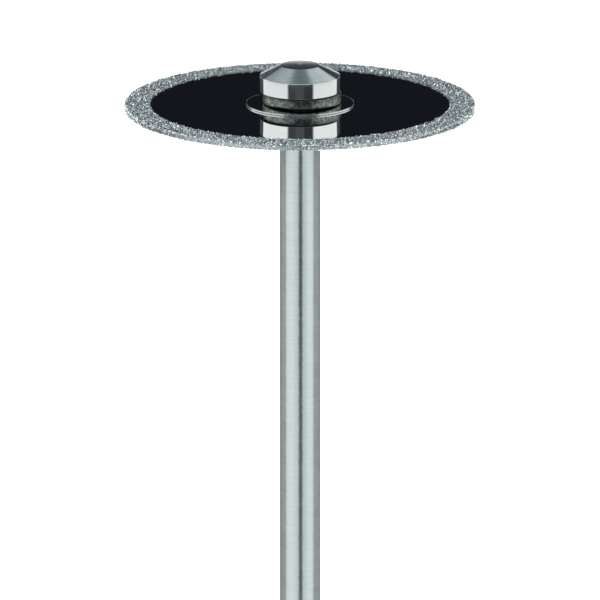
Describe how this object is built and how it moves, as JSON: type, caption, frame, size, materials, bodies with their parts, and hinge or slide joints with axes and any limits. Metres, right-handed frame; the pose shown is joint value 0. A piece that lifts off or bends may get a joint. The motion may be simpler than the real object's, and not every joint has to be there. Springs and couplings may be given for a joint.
{
  "type": "dental diamond disc",
  "caption": "Thin round disc with a diamond-coated rim, fixed under a bevelled head on a straight handpiece shank.",
  "frame": {"origin": "centre of the shank's free end, on the axis of rotation", "axes": "+Z along the axis of rotation, from the shank's free end to the head; +X towards the side that the solder ring stands out on"},
  "size_m": [0.0204, 0.0204, 0.0445],
  "materials": {
    "shank_steel": "stainless steel, ground round the shank in fine rings",
    "disc_steel": "stainless sheet, polished to a mirror",
    "diamond_grit": "fine diamond grit held in nickel plate, rough and glittering",
    "washer_steel": "thin polished steel",
    "solder": "dull mottled solder, as it set",
    "head_steel": "turned stainless steel, polished round its side and brushed on its bevel"
  },
  "bodies": {
    "root": {"mandrel": "shank_steel", "steel_disc": "disc_steel", "diamond_coating": "diamond_grit", "shim_washer": "washer_steel", "solder_ring": "solder", "clamp_head": "head_steel"}
  },
  "joints": []
}
